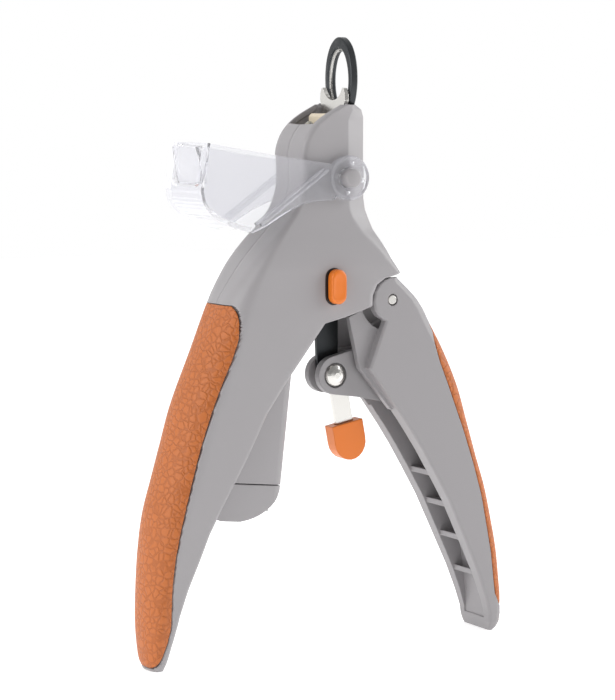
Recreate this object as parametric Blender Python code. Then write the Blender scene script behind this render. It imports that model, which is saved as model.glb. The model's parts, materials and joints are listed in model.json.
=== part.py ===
"""Lighted pet nail trimmer: a plier-shaped body, a squeezing lever that lifts a crescent
blade past a cutting ring, and a flip-up magnifying hood.

X runs from the fixed handle to the lever, Y from the front face to the back, Z is up.
The trimmer stands on its two handle tips at Z = 0. Lengths below are in millimetres.
"""

import math

import bmesh
import bpy
import numpy as np

MM = 0.001

# Fit
GAP = 0.3                       # clearance between touching pieces
SLACK = 0.15                    # running clearance round a pin

# Lever pivot, drive rivet and their pins
PIVOT = (17.15, 97.0)           # X, Z of the lever's pin
RIVET = (2.2, 76.4)             # X, Z of the rivet in the lever's ears
PIN_RADIUS = 1.5
RIVET_RADIUS = 1.6
RIVET_HEAD_RADIUS = 3.2
HUB_RADIUS = 6.2                # the lever's cheeks round the pin
LUG_RADIUS = 6.0                # the casing's lug between the cheeks
LUG_HALF = 6.7

# Depths, measured from the middle plane
BODY_HALF = 10.5
HEAD_HALF = 8.3
CAVITY_HALF = 7.2
LEVER_HALF = 9.5
CHANNEL_HALF = 5.0
STEP_HALF = 6.85
EAR_HALF = 3.9
EAR_SLOT_HALF = 1.7
EAR_ROOM_HALF = 5.5
EAR_RADIUS = 5.3
SKIN = 2.0                      # thickness of the moulded grips

# Cutting head
RING_X = (5.05, 7.35)
RING_CENTRE_Z = 157.5
RING_OUTER = (7.1, 11.2)        # half width, half height
RING_HOLE = (4.6, 8.0)
RING_SCREW_Z = 144.6
BLADE_X = (3.4, 4.6)
BLADE_LOW_Z = 151.6             # bottom of the crescent
HORN = (5.2, 155.0)             # Y, Z of each horn's tip
CARRIER_PIN = (1.5, 116.6)      # X, Z

# Magnifying hood
HOOD_PIVOT = (2.75, 130.7)
HOOD_DISC_RADIUS = 6.1
HOOD_FACES = (8.8, 10.4)        # inner and outer face of each arm
BOSS_RADIUS = 2.45
BOSS_END = 12.9

# Switch and battery bay
SWITCH = (-1.85, 101.5)
SWITCH_SIZE = (4.7, 9.5)
SWITCH_TRAVEL = 2.5
CELL_RADIUS = 5.25              # AAA cells
CELL_LENGTH = 44.5
CELL_TILT = math.radians(6.5)
CELL_FOOT = ((-22.95, 41.8), (-33.65, 41.8))
BAY_HALF = 7.0


# ---------------------------------------------------------------- materials

def material(name, colour, roughness, metallic=0.0, alpha=1.0):
    made = bpy.data.materials.new(name)
    made.use_nodes = True
    shader = made.node_tree.nodes["Principled BSDF"]
    shader.inputs["Base Color"].default_value = (*colour, 1.0)
    shader.inputs["Roughness"].default_value = roughness
    shader.inputs["Metallic"].default_value = metallic
    shader.inputs["Alpha"].default_value = alpha
    made.diffuse_color = (*colour, alpha)
    return made


def make_palette():
    return {
        "shell": material("grey_abs", (0.40, 0.39, 0.40), 0.45),
        "lever": material("grey_nylon", (0.37, 0.36, 0.37), 0.45),
        "grip": material("orange_grip_rubber", (0.60, 0.20, 0.06), 0.6),
        "orange": material("orange_plastic", (0.75, 0.18, 0.03), 0.4),
        "clear": material("clear_polycarbonate", (0.9, 0.9, 0.92), 0.05, alpha=0.3),
        "black": material("black_oxide_steel", (0.04, 0.04, 0.05), 0.35, 0.9),
        "bright": material("ground_steel", (0.75, 0.75, 0.75), 0.2, 1.0),
        "spring": material("spring_steel", (0.5, 0.5, 0.5), 0.3, 1.0),
        "cream": material("cream_acetal", (0.7, 0.62, 0.5), 0.5),
        "board": material("circuit_board", (0.03, 0.16, 0.07), 0.5),
        "cell": material("battery_wrap", (0.1, 0.1, 0.12), 0.4),
        "lamp": material("lamp_epoxy", (0.9, 0.9, 0.8), 0.1),
    }


# ---------------------------------------------------------------- shapes

def smooth_curve(knots, at):
    """The value at each place in `at` of a smooth curve through (place, value) knots."""
    places = np.array([k[0] for k in knots], float)
    values = np.array([k[1] for k in knots], float)
    steps = np.diff(values) / np.diff(places)
    slopes = np.concatenate([steps[:1], (steps[:-1] + steps[1:]) / 2, steps[-1:]])
    slopes[1:-1][steps[:-1] * steps[1:] <= 0] = 0.0
    at = np.clip(np.asarray(at, float), places[0], places[-1])
    i = np.clip(np.searchsorted(places, at) - 1, 0, len(places) - 2)
    width = places[i + 1] - places[i]
    t = (at - places[i]) / width
    return (
        values[i] * (1 + 2 * t) * (1 - t) ** 2
        + slopes[i] * width * t * (1 - t) ** 2
        + values[i + 1] * t * t * (3 - 2 * t)
        + slopes[i + 1] * width * t * t * (t - 1)
    )


def smooth_path(points, count):
    """A smooth path through the points, in equal steps of chord length."""
    runs = np.concatenate([[0.0], np.cumsum([math.dist(a, b) for a, b in
                                             zip(points, points[1:])])])
    at = np.linspace(0.0, runs[-1], count)
    across, up = (smooth_curve(list(zip(runs, side)), at) for side in zip(*points))
    return list(zip(across.tolist(), up.tolist()))


def mesh_object(name, points, faces, finish):
    mesh = bpy.data.meshes.new(name)
    mesh.from_pydata([tuple(MM * float(c) for c in p) for p in points], [], faces)
    work = bmesh.new()
    work.from_mesh(mesh)
    bmesh.ops.remove_doubles(work, verts=work.verts, dist=1e-6)
    bmesh.ops.recalc_face_normals(work, faces=work.faces)
    work.to_mesh(mesh)
    work.free()
    mesh.materials.append(finish)
    made = bpy.data.objects.new(name, mesh)
    bpy.context.scene.collection.objects.link(made)
    return made


def slab(name, outline, low, high, finish, normal="Y"):
    """An outline pushed along one axis. It is in XZ for normal Y, YZ for X and XY for Z."""
    place = {
        "X": lambda a, b, d: (d, a, b),
        "Y": lambda a, b, d: (a, d, b),
        "Z": lambda a, b, d: (a, b, d),
    }[normal]
    count = len(outline)
    points = [place(a, b, d) for d in (low, high) for a, b in outline]
    sides = [(i, (i + 1) % count, count + (i + 1) % count, count + i) for i in range(count)]
    caps = [tuple(range(count)), tuple(range(2 * count - 1, count - 1, -1))]
    return mesh_object(name, points, sides + caps, finish)


def loft(name, loops, finish):
    """A closed skin over loops with the same number of points, with a flat cap at each end."""
    count = len(loops[0])
    points = [p for loop in loops for p in loop]
    faces = [
        (k * count + i, k * count + (i + 1) % count,
         (k + 1) * count + (i + 1) % count, (k + 1) * count + i)
        for k in range(len(loops) - 1)
        for i in range(count)
    ]
    last = (len(loops) - 1) * count
    faces += [tuple(range(count)), tuple(range(last + count - 1, last - 1, -1))]
    return mesh_object(name, points, faces, finish)


def arc(centre, radius, start, end, count):
    """Points on an ellipse's arc, from the start angle to the end angle in degrees."""
    across, up = radius if isinstance(radius, tuple) else (radius, radius)
    turns = np.radians(np.linspace(start, end, count))
    return [(centre[0] + across * math.cos(t), centre[1] + up * math.sin(t)) for t in turns]


def disc(centre, radius, count=24):
    return arc(centre, radius, 0, 360 - 360 / count, count)


def turned(name, profile, centre, finish, count=20, normal="Y"):
    """A profile of (distance along the axis, radius) turned round that axis."""
    loops = []
    for along, radius in profile:
        ring = disc(centre, max(radius, 1e-3), count)
        if normal == "Y":
            loops.append([(a, along, b) for a, b in ring])
        else:
            loops.append([(along, a, b) for a, b in ring])
    return loft(name, loops, finish)


def turned_up(obj, pivot, angle):
    """Tilts the object's mesh about a Y axis through the pivot (X, Z)."""
    for vertex in obj.data.vertices:
        x, z = vertex.co.x - MM * pivot[0], vertex.co.z - MM * pivot[1]
        vertex.co.x = MM * pivot[0] + x * math.cos(angle) + z * math.sin(angle)
        vertex.co.z = MM * pivot[1] - x * math.sin(angle) + z * math.cos(angle)
    return obj


def combine(target, others, operation):
    """Joins the others to the target, or cuts them from it, or keeps what they share."""
    for other in others:
        step = target.modifiers.new(operation.lower(), "BOOLEAN")
        step.operation = operation
        step.object = other
        step.solver = "EXACT"
        graph = bpy.context.evaluated_depsgraph_get()
        result = bpy.data.meshes.new_from_object(target.evaluated_get(graph))
        target.modifiers.clear()
        old = target.data
        target.data = result
        bpy.data.meshes.remove(old)
    for other in others:
        bpy.data.objects.remove(other)
    return target


def cut(target, *others):
    return combine(target, others, "DIFFERENCE")


def join(target, *others):
    return combine(target, others, "UNION")


def keep(target, *others):
    return combine(target, others, "INTERSECT")


def copy_of(obj, name):
    made = obj.copy()
    made.data = obj.data.copy()
    made.name = name
    bpy.context.scene.collection.objects.link(made)
    return made


def one_side(obj, side):
    """Keeps the part of a solid on one side (-1 front, 1 back) of the casings' parting gap."""
    work = bmesh.new()
    work.from_mesh(obj.data)
    geometry = [*work.verts, *work.edges, *work.faces]
    parted = bmesh.ops.bisect_plane(
        work, geom=geometry, plane_co=(0, side * MM * GAP / 2, 0), plane_no=(0, -side, 0),
        dist=1e-7, clear_outer=True)
    rim = [e for e in parted["geom_cut"] if isinstance(e, bmesh.types.BMEdge)]
    bmesh.ops.triangle_fill(work, edges=rim, use_beauty=True)
    bmesh.ops.recalc_face_normals(work, faces=work.faces)
    work.to_mesh(obj.data)
    work.free()


def finish_object(obj, pivot=None):
    """Smooth shading with sharp edges kept, and the origin on the joint's axis."""
    if pivot is not None:
        shift = np.array([MM * p for p in pivot])
        for vertex in obj.data.vertices:
            vertex.co.x -= shift[0]
            vertex.co.y -= shift[1]
            vertex.co.z -= shift[2]
        obj.location = shift
    obj.data.shade_smooth()
    obj.data.set_sharp_from_angle(angle=math.radians(35))


# ---------------------------------------------------------------- the casing

CASING_LEFT = [
    (0, -54.4), (2, -55.2), (6, -55.8), (13, -56.1), (20.5, -56.0), (31, -55.3), (42, -53.7),
    (51, -51.1), (60, -48.4), (70, -45.3), (84.8, -38.9), (99.2, -31.8), (105, -27.8),
    (110, -23.8), (113.5, -20.5), (117.5, -16.6), (121, -13.6), (125, -11.5), (131, -10.4),
    (137, -10.6), (140.5, -9.8), (143.4, -8.2), (145.8, -5.9), (147.9, -2.8), (150.4, 2.0),
]
CASING_RIGHT = [
    (0, 25), (103, 25), (104.2, 19.9), (108.1, 17.4), (110.9, 15.9), (116.3, 12.3),
    (121.9, 10.2), (125, 9.7), (137, 9.6), (147, 9.6), (149, 9.0), (150.4, 7.0),
]
CASING_HALF = [
    (0, 4.2), (2, 5.3), (7, 6.5), (13, 7.6), (20, 8.1), (31, 9.2), (43, 10.0), (60, 10.4),
    (75, BODY_HALF), (106, BODY_HALF), (113, 9.7), (118, 8.7), (123, HEAD_HALF),
    (150.4, HEAD_HALF),
]
CASING_ROUND = [  # run of the rounded outer side along X, and how deep it bites into Y
    (0, 2.2, 4.2), (7, 3.0, 6.5), (20, 5.0, 8.1), (43, 8.0, 10.0), (75, 8.5, 10.4),
    (95, 6.5, 8.5), (110, 3.0, 4.0), (120, 1.5, 1.6), (150.4, 1.5, 1.6),
]
HANDLE_INSIDE = [  # X, Z of the fixed handle's inner edge, from its tip to the body
    (-50.5, -1), (-49.6, 5), (-47.5, 14.8), (-44.9, 22.4), (-42.0, 29.6), (-39.3, 36.6),
    (-36.1, 42.8), (-32.1, 49.7), (-28.1, 56.6), (-22.2, 68.0), (-15.8, 76.9), (-4.2, 91.5),
]
CASING_LEVELS = (
    0, 1, 2.5, 5, 9, 14, 20, 27, 35, 43, 51, 60, 70, 80, 90, 97, 103, 104.2, 108, 111, 114,
    117, 120, 123, 127, 132, 137, 140.5, 143.4, 145.8, 147.9, 149.3, 150.4,
)


def round_section(left, right, half, left_run, left_bite, right_run, right_bite, z):
    """A loop at height z: flat front and back, with an elliptic corner on each side."""
    left_run = min(left_run, 0.45 * (right - left))
    right_run = min(right_run, 0.45 * (right - left))
    left_bite, right_bite = min(left_bite, half - 0.05), min(right_bite, half - 0.05)
    front = []
    for t in np.radians(np.linspace(0, 90, 6)):
        front.append((left + left_run * (1 - math.cos(t)),
                      -(half - left_bite) - left_bite * math.sin(t)))
    for t in np.radians(np.linspace(90, 0, 4)):
        front.append((right - right_run * (1 - math.cos(t)),
                      -(half - right_bite) - right_bite * math.sin(t)))
    return [(x, y, z) for x, y in front] + [(x, -y, z) for x, y in reversed(front)]


def casing_blank(name, inset, finish):
    """The outside of both casing halves as one solid, or that solid shrunk by an inset."""
    runs = [(z, run) for z, run, _ in CASING_ROUND]
    bites = [(z, bite) for z, _, bite in CASING_ROUND]
    loops = []
    for z in CASING_LEVELS:
        half = float(smooth_curve(CASING_HALF, z)) - inset
        loops.append(round_section(
            float(smooth_curve(CASING_LEFT, z)) + inset,
            float(np.interp(z, *zip(*CASING_RIGHT))),
            half,
            float(smooth_curve(runs, z)),
            float(smooth_curve(bites, z)),
            6.7 if z > 105 else 2.0,
            2.4 if z > 105 else 2.0,
            z,
        ))
    return loft(name, loops, finish)


def grip_zone(name, finish):
    """The stretch of the fixed handle's outer side that the soft grip covers."""
    edge = [
        (-58, -3), (-53.6, -3), (-52.2, 3), (-51.4, 8), (-50.6, 12), (-50.5, 24),
        (-49.9, 31), (-48.6, 38), (-46.9, 45), (-44.7, 53), (-42.7, 60), (-39.6, 69),
        (-36.5, 76.5), (-33.4, 83), (-31.3, 88.6), (-30.9, 93), (-31.6, 97.2), (-33.8, 99.4),
        (-37, 100.3), (-58, 100.3),
    ]
    return slab(name, edge, -14, 14, finish)


def below_body(name, finish):
    """What lies under the body's lower edge and right of the fixed handle, with the hub cut."""
    hub = arc(PIVOT, HUB_RADIUS + GAP, 190, 75, 12)
    outline = HANDLE_INSIDE + [(2.4, 93.0), (7.5, 94.5)] + hub + [
        (20.2, 104.2), (40, 104.2), (40, -1)]
    return slab(name, outline, -14, 14, finish)


def bay_box(name, half, grow, low, high, finish):
    """The battery bay's rounded block, leaning with the cells."""
    left, right = CELL_FOOT[1][0] - CELL_RADIUS - 1.2, CELL_FOOT[0][0] + CELL_RADIUS + 1.1
    corner = 2.6
    loop = []
    for cx, cy, start in ((right - corner, half - corner, 0), (left + corner, half - corner, 90),
                          (left + corner, corner - half, 180), (right - corner, corner - half, 270)):
        loop += arc((cx, cy), corner + grow, start, start + 90, 5)
    box = slab(name, loop, low, high, finish, normal="Z")
    return turned_up(box, CELL_FOOT[0], CELL_TILT)


def mechanism_room(name, finish):
    """The body's hollow, open underneath, that the lever's cheeks and ears swing up into."""
    wall = arc(PIVOT, HUB_RADIUS + 0.05, 150, 212, 8)
    outline = [(-3.9, 84), (-10.8, 93), (-10.8, 104), (-8.9, 109), (-6.9, 115.3), (8.1, 115.3), (10.9, 109.5),
               (10.9, 103.8)] + wall + [(10.9, 84)]
    return slab(name, outline, -CAVITY_HALF, CAVITY_HALF, finish)


def head_room(name, finish):
    """The shaft in the head for the blade's slide, open at the top."""
    outline = [(-7.6, 112), (-8.4, 120), (-8.4, 139.3), (-5.6, 140.6), (-5.6, 154), (7.7, 154),
               (7.7, 120), (9.3, 112)]
    return slab(name, outline, -6.3, 6.3, finish)


def ear_room(name, finish):
    """The slot in the handle's inner wall that the lever's ears swing into."""
    reach = math.hypot(PIVOT[0] - RIVET[0], PIVOT[1] - RIVET[1])
    start = math.degrees(math.atan2(RIVET[1] - PIVOT[1], RIVET[0] - PIVOT[0]))
    spread = EAR_RADIUS + 0.7
    low = arc(PIVOT, reach + spread, start - 10, start - 52, 10)
    high = arc(PIVOT, reach - spread, start - 52, start - 10, 10)
    return slab(name, low + high, -EAR_ROOM_HALF, EAR_ROOM_HALF, finish)


CASING_SCREWS = ((-47.6, 24.0), (-43.4, 47.5), (-24.5, 101.5), (14.6, 106.8))


def make_casings(palette):
    shell = palette["shell"]
    body = casing_blank("body", 0.0, shell)
    cut(body, below_body("under", shell))
    grip = casing_blank("left_grip", 0.0, palette["grip"])
    keep(grip, grip_zone("zone", shell))
    cut(grip, casing_blank("core", SKIN, shell), below_body("under", shell))
    soft = grip_zone("zone", shell)
    cut(soft, casing_blank("core", SKIN + GAP, shell))
    cut(body, soft)
    lug = slab("lug", disc(PIVOT, LUG_RADIUS), -LUG_HALF, LUG_HALF, shell)
    web = slab("web", arc(PIVOT, 8.2, 150, 60, 8) + [PIVOT], -LUG_HALF, LUG_HALF, shell)
    join(lug, web)
    join(body, lug)
    cut(
        body,
        mechanism_room("room", shell),
        head_room("head_room", shell),
        ear_room("ear_room", shell),
        keep(bay_box("bay", BAY_HALF, GAP, 33.0, 88.9, shell),
             casing_blank("core", SKIN + 0.6, shell)),
        slab("tip_room", [(-53.2, 8), (-51.5, 8), (-47.3, 20), (-51.6, 20)], -5, 5, shell),
        slab("mid_room", [(-51.6, 28.5), (-44.6, 28.5), (-41.4, 36.5), (-44.4, 41.5),
                          (-50.4, 41.5)], -6.6, 6.6, shell),
        slab("pin_bore", disc(PIVOT, PIN_RADIUS + SLACK, 20), -14, 14, shell),
        turned("ring_screw_bore", [(7, 1.25), (12, 1.25)], (0.0, RING_SCREW_Z), shell, 16, normal="X"),
    )
    travel = (SWITCH[0], SWITCH[1] + SWITCH_TRAVEL / 2)
    switch_slot = slab("switch_slot", disc_slot(travel, (2.6, 4.4 + SWITCH_TRAVEL)), -14, -5,
                       shell)
    cut(body, switch_slot)
    halves = []
    for name, side in (("front_casing", -1), ("rear_casing", 1)):
        half = copy_of(body, name)
        one_side(half, side)
        halves.append(half)
    bpy.data.objects.remove(body)
    front, rear = halves
    for x, z in CASING_SCREWS:
        cut(rear, slab("bore", disc((x, z), 1.5, 14), -1, 14, shell),
            slab("sink", disc((x, z), 2.55, 18), 6.2, 14, shell))
        cut(front, slab("bore", disc((x, z), 1.5, 14), -5.2, 1, shell))
    screws = [make_casing_screw(f"casing_screw_{i + 1}", x, z, palette["bright"])
              for i, (x, z) in enumerate(CASING_SCREWS)]
    return [front, rear, grip, *screws]


def disc_slot(centre, size):
    """A slot with round ends: its width, and its height between the outer ends."""
    half_width, lift = size[0] / 2, (size[1] - size[0]) / 2
    top = arc((centre[0], centre[1] + lift), half_width, 0, 180, 8)
    bottom = arc((centre[0], centre[1] - lift), half_width, 180, 360, 8)
    return top + bottom


def make_casing_screw(name, x, z, finish):
    """A pan head in the rear casing's sink, with its shank into the front casing."""
    profile = [(-4.6, 1.1), (5.9, 1.1), (5.9, 1.1), (6.5, 1.1), (6.5, 2.3), (7.7, 2.3), (8.1, 1.7)]
    screw = turned(name, profile, (x, z), finish, 14)
    cross = slab("cross", [(x - 1.2, z - 0.25), (x + 1.2, z - 0.25), (x + 1.2, z + 0.25),
                           (x - 1.2, z + 0.25)], 7.6, 9, finish)
    cut(screw, cross)
    return screw


# ---------------------------------------------------------------- the lever

LEVER_OUTSIDE = [
    (0, 53.6), (0.8, 54.8), (3.2, 55.9), (6.8, 56.1), (17, 55.0), (24.9, 53.8), (33.6, 51.8),
    (42.6, 49.5), (51.3, 46.6), (62, 43.2), (70.8, 40.4), (77.3, 37.6), (84.1, 34.1),
    (89.9, 30.7), (94.3, 28.3), (97, 26.3), (100.8, 22.3), (103.1, 19.6),
]
LEVER_MOUTH = [
    (0, 51.9), (1.5, 51.4), (5, 51.2), (10, 49.7), (17.4, 46.8), (28.6, 41.5), (39, 36.5),
    (47.4, 31.6), (54, 27.6), (60, 23.6), (67.2, 18.4), (78.3, 9.9), (91.2, 15.0),
]
LEVER_HALVES = [(0, 6.6), (1.5, 7.4), (8, 8.3), (17, 8.8), (30, 9.2), (45, LEVER_HALF),
                (104, LEVER_HALF)]
LEVER_LEVELS = (0, 0.8, 2.5, 5, 10, 17.4, 28.6, 39, 47.4, 54, 60, 67.2, 72.5, 78.3, 84, 88,
                91.2, 92.5, 94.3, 97, 99.5, 101.5, 102.6, 103.1)
RIB_LEVELS = (47.0, 37.6, 27.6, 17.0)


def lever_left(z):
    if z <= 91.2:
        return float(np.interp(z, *zip(*LEVER_MOUTH)))
    return PIVOT[0] - math.sqrt(max(HUB_RADIUS ** 2 - (z - PIVOT[1]) ** 2, 0.01))


def lever_blank(name, inset, finish):
    loops = []
    for z in LEVER_LEVELS:
        loops.append(round_section(
            lever_left(z),
            float(smooth_curve(LEVER_OUTSIDE, z)) - inset,
            float(smooth_curve(LEVER_HALVES, z)) - inset,
            0.8, 0.8, 3.2, 3.6 if z > 3 else 2.5, z,
        ))
    return loft(name, loops, finish)


def strip_zone(name, finish):
    """The lever's outer edge that its soft strip covers."""
    edge = [(56.6, 6.2), (54.6, 7.4), (52.6, 11), (51.8, 16), (50.8, 23.1), (48.9, 31.8),
            (47.0, 40.4), (44.2, 49.5), (40.7, 59.3), (37.6, 67.1), (35.2, 73.1),
            (32.7, 79.0), (31.0, 84.2), (30.2, 90.2), (60, 90.2), (60, 6.2)]
    return slab(name, edge, -14, 14, finish)


def channel_room(name, finish):
    """The lever's hollow between its side walls, open towards the fixed handle."""
    inner = [(float(smooth_curve(LEVER_OUTSIDE, z)) - SKIN - 2.4, z)
             for z in (3.6, 10, 20, 30, 40, 50, 60, 70, 80, 88)]
    return slab(name, [(-4, 3.6)] + inner + [(25.5, 92.5), (-4, 92.5)],
                -CHANNEL_HALF, CHANNEL_HALF, finish)


def make_lever(palette):
    finish = palette["lever"]
    lever = lever_blank("lever", 0.0, finish)
    plates = slab("plates", [(8.05, 78.4), (4.7, 92.6), (10.5, 95.0), (22, 92), (26, 80),
                             (24, 66), (18.3, 66.2)], -STEP_HALF, STEP_HALF, finish)
    join(lever, plates)
    zone = strip_zone("zone", finish)
    cut(zone, lever_blank("core", SKIN + GAP, finish))
    cut(lever, zone, channel_room("channel", finish))
    for z in RIB_LEVELS:
        left = float(np.interp(z, *zip(*LEVER_MOUTH))) + 0.7
        right = float(smooth_curve(LEVER_OUTSIDE, z)) - SKIN - 1.2
        join(lever, slab("rib", [(left, z - 0.75), (right, z - 2.2), (right, z - 0.7),
                                 (left, z + 0.75)], -CHANNEL_HALF - 0.6, CHANNEL_HALF + 0.6,
                         finish))
    lobe = slab("ears", arc(RIVET, EAR_RADIUS, 100, 258, 14)
                + [(9.2, 70.0), (17.5, 68.2), (22, 70), (20, 84), (7.0, 83.0)],
                -EAR_HALF, EAR_HALF, finish)
    root = slab("root", [(12.5, 82), (20, 84), (27, 78), (26, 68), (18.6, 68.2), (11.2, 77.5)],
                -CHANNEL_HALF - 0.6, CHANNEL_HALF + 0.6, finish)
    join(lobe, root)
    join(lever, lobe)
    slot = [(-8, 60), (14.5, 60), (14.5, 79), (9.7, 90), (9.0, 99), (-8, 99)]
    cut(
        lever,
        slab("slot", slot, -EAR_SLOT_HALF, EAR_SLOT_HALF, finish),
        slab("lug_room", disc(PIVOT, LUG_RADIUS + 2.6, 32), -LUG_HALF - GAP, LUG_HALF + GAP,
             finish),
        slab("lug_way", [(8.6, 97), (8.6, 106), (30, 106), (30, 96), (25, 92), (17, 97)],
             -LUG_HALF - GAP, LUG_HALF + GAP, finish),
        slab("pin_bore", disc(PIVOT, PIN_RADIUS + SLACK, 20), -14, 14, finish),
        slab("rivet_bore", disc(RIVET, RIVET_RADIUS + SLACK, 20), -14, 14, finish),
        slab("seat", disc(RIVET, RIVET_HEAD_RADIUS + 0.3, 24), -14, -3.2, finish),
        slab("seat", disc(RIVET, RIVET_HEAD_RADIUS + 0.3, 24), 3.2, 14, finish),
    )
    strip = lever_blank("lever_grip", 0.0, palette["grip"])
    keep(strip, strip_zone("zone", finish))
    cut(strip, lever_blank("core", SKIN, finish))
    return [lever, strip]


def make_pins(palette):
    """The lever's pin and the headed rivet that the drive link and lock strap swing on."""
    end = LEVER_HALF - 0.1
    pin = turned("pivot_pin", [(-end, 1.2), (-end + 0.4, PIN_RADIUS), (end - 0.4, PIN_RADIUS),
                               (end, 1.2)], PIVOT, palette["bright"], 18)
    neck = EAR_HALF - 0.7 + GAP
    dome = [(-neck - 1.5, 0.8), (-neck - 1.3, 1.9), (-neck - 0.8, 2.8), (-neck - 0.2, 3.2),
            (-neck, 3.2)]
    profile = dome + [(-neck, RIVET_RADIUS), (neck, RIVET_RADIUS)] + [
        (-along, radius) for along, radius in reversed(dome)]
    rivet = turned("link_rivet", profile, RIVET, palette["bright"], 22)
    return [pin, rivet]


# ---------------------------------------------------------------- linkage, blade and ring

LINK_EYE = 2.9                  # the upper eye is wide, so the slide can lead or lag the link


def make_linkage(palette):
    foot, top = RIVET, CARRIER_PIN
    lean = math.degrees(math.atan2(top[1] - foot[1], top[0] - foot[0]))
    outline = arc(foot, 3.2, lean + 100, lean + 260, 12) + arc(top, 4.0, lean - 80, lean + 80, 12)
    link = slab("drive_link", outline, 0.3, 1.5, palette["black"])
    cut(link, slab("eye", disc(foot, RIVET_RADIUS + SLACK, 20), -3, 3, palette["black"]),
        slab("eye", disc(top, LINK_EYE, 20), -3, 3, palette["black"]))
    finish = palette["cream"]
    block = [(-1.4, 122.0), (3.0, 122.0), (3.0, 147.2), (2.2, 148.0), (-0.6, 148.0),
             (-1.4, 147.2)]
    carrier = slab("blade_carrier", block, -4.6, 4.6, finish)
    foot_block = [(-7.4, 118.4), (3.0, 118.4), (3.0, 122.6), (-1.4, 122.6), (-1.4, 120.7),
                  (-7.4, 120.7)]
    join(carrier, slab("foot", foot_block, -4.6, 4.6, finish))
    fork = [(-2.0, 112.6), (-0.8, 111.4), (2.6, 111.4), (3.0, 112.6), (3.0, 119.0),
            (-2.0, 119.0)]
    join(carrier, slab("fork", fork, -4.6, 4.6, finish))
    cut(carrier,
        slab("fork_slot", [(-9, 108), (9, 108), (9, 122.4), (-9, 122.4)], -1.9, 1.9, finish),
        slab("fork_bore", disc(CARRIER_PIN, 1.0 + SLACK, 16), -9, 9, finish),
        turned("screw_bore", [(-9, 1.05), (9, 1.05)], (0.0, 134.0), finish, 16, normal="X"))
    pin = turned("carrier_pin", [(-4.5, 1.0), (4.5, 1.0)], CARRIER_PIN, palette["bright"], 16)
    return [link, carrier, pin]


def make_blade(palette):
    """A ground crescent with two horns; its low middle meets the far side of the nail."""
    rise = HORN[1] - BLADE_LOW_Z
    radius = (HORN[0] ** 2 + rise ** 2) / (2 * rise)
    spread = math.degrees(math.asin(HORN[0] / radius))
    bite = arc((0, BLADE_LOW_Z + radius), radius, 270 + spread, 270 - spread, 13)
    left = [(-5.9, 154.8), (-6.5, 153.4), (-6.6, 151.6), (-6.0, 150.0), (-5.8, 148.4),
            (-4.2, 146.6), (-4.2, 127.0)]
    outline = bite + left + [(-y, z) for y, z in reversed(left)]
    blade = slab("blade", outline, *BLADE_X, palette["bright"], normal="X")
    screw = turned("blade_screw", [(-1.9, 0.9), (3.0, 0.9), (4.75, 0.9), (4.75, 0.9)],
                   (0.0, 134.0), palette["bright"], 14, normal="X")
    bore = turned("bore", [(-3, 1.2), (6, 1.2)], (0.0, 134.0), palette["bright"], 14, normal="X")
    cut(blade, bore)
    return [blade, screw]


def make_ring(palette):
    """The oval loop that holds the nail, with a tang down into the head."""
    finish = palette["black"]
    centre = (0.0, RING_CENTRE_Z)
    outline = arc(centre, RING_OUTER, -46, 226, 34) + [(-5.0, 146.0), (-5.0, 134.0),
                                                      (5.0, 134.0), (5.0, 146.0)]
    ring = slab("cutting_ring", outline, *RING_X, finish, normal="X")
    hole = slab("hole", disc((0.0, 157.0), RING_HOLE, 32), 4, 9, finish, normal="X")
    bore = slab("bore", disc((0.0, RING_SCREW_Z), 1.25, 14), 4, 9, finish, normal="X")
    cut(ring, hole, bore)
    screw = turned("ring_screw", [(5.4, 1.0), (9.75, 1.0), (9.75, 2.2), (10.5, 2.2),
                                  (10.9, 1.5)], (0.0, RING_SCREW_Z), palette["black"], 16, normal="X")
    return [ring, screw]


def make_return_spring(palette):
    """A coil between the blade carrier's foot and the shelf in the head."""
    radius, wire, turns, low, high = 2.1, 0.35, 5, 121.4, 138.6
    steps = 12 * turns
    loops = []
    for i in range(steps + 1):
        turn = 2 * math.pi * turns * i / steps
        middle = np.array([-4.6 + radius * math.cos(turn), radius * math.sin(turn),
                           low + (high - low) * i / steps])
        out = np.array([math.cos(turn), math.sin(turn), 0.0])
        up = np.array([0.0, 0.0, 1.0])
        loops.append([tuple(middle + wire * (math.cos(a) * out + math.sin(a) * up))
                      for a in np.linspace(0, 2 * math.pi, 6, endpoint=False)])
    return [loft("return_spring", loops, palette["spring"])]


def make_lock(palette):
    """The steel lock strap that hangs from the rivet, with its thumb tip."""
    lean = math.radians(-11)
    x, z = RIVET[0] + 1.7, RIVET[1]
    width, end = 2.65, z - 19.5
    outline = arc(RIVET, 4.4, -45, 225, 20) + [(x - width, z - 3.5), (x - width, end),
                                               (x + width, end), (x + width, z - 3.5)]
    strap = slab("lock_strap", outline, -1.5, -0.3, palette["bright"])
    cut(strap, slab("eye", disc(RIVET, RIVET_RADIUS + SLACK, 20), -3, 3, palette["bright"]))
    tip_outline = [(x - 4.9, z - 14.2), (x - 4.9, z - 19.5)] + arc(
        (x, z - 19.5), (4.9, 5.2), 180, 360, 12)[1:] + [(x + 4.9, z - 14.2)]
    tip = slab("lock_tip", tip_outline, -3.0, 1.2, palette["orange"])
    cut(tip, slab("pocket", [(x - width - GAP, z - 13), (x - width - GAP, end - GAP),
                             (x + width + GAP, end - GAP), (x + width + GAP, z - 13)],
                  -1.5 - GAP, -0.3 + GAP, palette["orange"]))
    return [turned_up(strap, RIVET, lean), turned_up(tip, RIVET, lean)]


# ---------------------------------------------------------------- hood

HOOD_TOP = [(-3.3, 134.6), (-19.5, 137.0), (-40.5, 140.6)]
HOOD_END = [(-42.6, 128.2), (-41.8, 124.6), (-39.4, 121.6), (-35.6, 119.4), (-31.0, 117.6),
            (-27.0, 116.7)]
HOOD_UNDER = [(-22.5, 118.6), (-16.2, 122.1), (-10.5, 124.2), (-2.0, 124.9)]


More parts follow.
